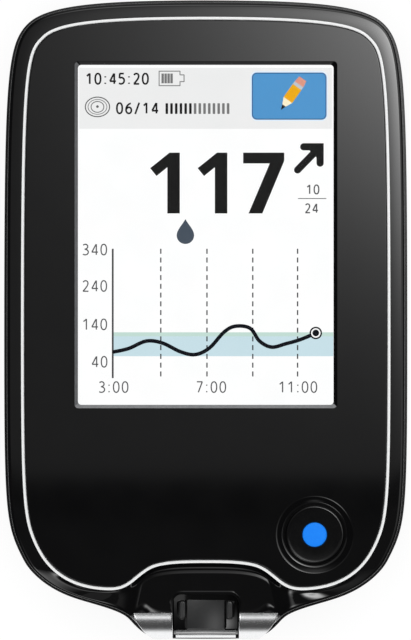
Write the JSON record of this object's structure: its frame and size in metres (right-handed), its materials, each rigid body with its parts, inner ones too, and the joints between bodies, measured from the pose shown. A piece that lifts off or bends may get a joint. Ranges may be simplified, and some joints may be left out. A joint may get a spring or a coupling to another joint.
{
  "type": "blood glucose meter",
  "caption": "Handheld blood glucose meter with touch screen, round home button, test-strip port in a bright-trimmed nose, and a two-part black case",
  "frame": {"origin": "under the middle of the meter on the plane of its flat back, on which it lies", "axes": "+X across the width to the side with the home button, +Y along the length towards the top of the screen, +Z out of the screen"},
  "size_m": [0.06, 0.095, 0.016],
  "materials": {
    "rear_cover": "smooth black moulding, semi-gloss",
    "front_shell": "high-gloss black moulding",
    "white_inlay": "white moulded line, satin",
    "face_panel": "high-gloss black panel",
    "screen_gasket": "black foam gasket",
    "touch_glass": "clear touch glass",
    "touch_flex": "amber flex film",
    "lcd_panel": "lit display panel",
    "backlight_unit": "white light guide in a frame",
    "lcd_flex": "amber flex film",
    "mid_frame": "dark grey moulding",
    "main_board": "green circuit board",
    "board_chips": "black chip packages",
    "shield_can": "tinned steel can",
    "reader_coil": "bare copper track",
    "coil_ferrite": "dark ferrite sheet",
    "battery_cell": "silver foil pouch",
    "battery_tape": "cream adhesive tape",
    "battery_lead": "red insulated wire with a plug",
    "usb_shell": "plated steel shell",
    "usb_tongue": "black contact tongue",
    "strip_connector": "cream connector housing",
    "strip_contacts": "gold-plated springs",
    "port_insert": "smoked dark plastic",
    "port_trim": "bright plated plastic",
    "port_lights": "white lamp bodies",
    "home_button": "black cap",
    "button_dot": "bright blue dot",
    "switch_body": "steel-topped switch",
    "switch_plunger": "white plunger",
    "vibration_motor": "drawn steel can",
    "motor_weight": "sintered heavy metal",
    "motor_boot": "black rubber sleeve",
    "buzzer": "black sounder case",
    "case_screws": "plated screws",
    "board_screws": "plated screws"
  },
  "bodies": {
    "case": {"rear_cover": "rear_cover", "front_shell": "front_shell", "white_inlay": "white_inlay", "face_panel": "face_panel", "screen_gasket": "screen_gasket", "touch_glass": "touch_glass", "touch_flex": "touch_flex", "lcd_panel": "lcd_panel", "backlight_unit": "backlight_unit", "lcd_flex": "lcd_flex", "mid_frame": "mid_frame", "main_board": "main_board", "board_chips": "board_chips", "shield_can": "shield_can", "reader_coil": "reader_coil", "coil_ferrite": "coil_ferrite", "battery_cell": "battery_cell", "battery_tape": "battery_tape", "battery_lead": "battery_lead", "usb_shell": "usb_shell", "usb_tongue": "usb_tongue", "strip_connector": "strip_connector", "strip_contacts": "strip_contacts", "port_insert": "port_insert", "port_trim": "port_trim", "port_lights": "port_lights", "switch_body": "switch_body", "vibration_motor": "vibration_motor", "motor_boot": "motor_boot", "buzzer": "buzzer", "case_screws": "case_screws", "board_screws": "board_screws"},
    "button": {"home_button": "home_button", "button_dot": "button_dot"},
    "plunger": {"switch_plunger": "switch_plunger"},
    "weight": {"motor_weight": "motor_weight"}
  },
  "joints": [
    {"name": "button_press", "type": "slide", "parent": "case", "child": "button", "axis": [0, 0, -1], "range_m": [0, 0.0005], "stiffness_N_per_m": 1500},
    {"name": "plunger_press", "type": "slide", "parent": "case", "child": "plunger", "axis": [0, 0, -1], "range_m": [0, 0.0005]},
    {"name": "weight_spin", "type": "hinge", "parent": "case", "child": "weight", "pos_m": [-0.0052, -0.024, 0.00435], "axis": [1, 0, 0], "continuous": true}
  ],
  "couplings": [
    {"joint": "plunger_press", "follows": "button_press", "ratio": 1}
  ]
}
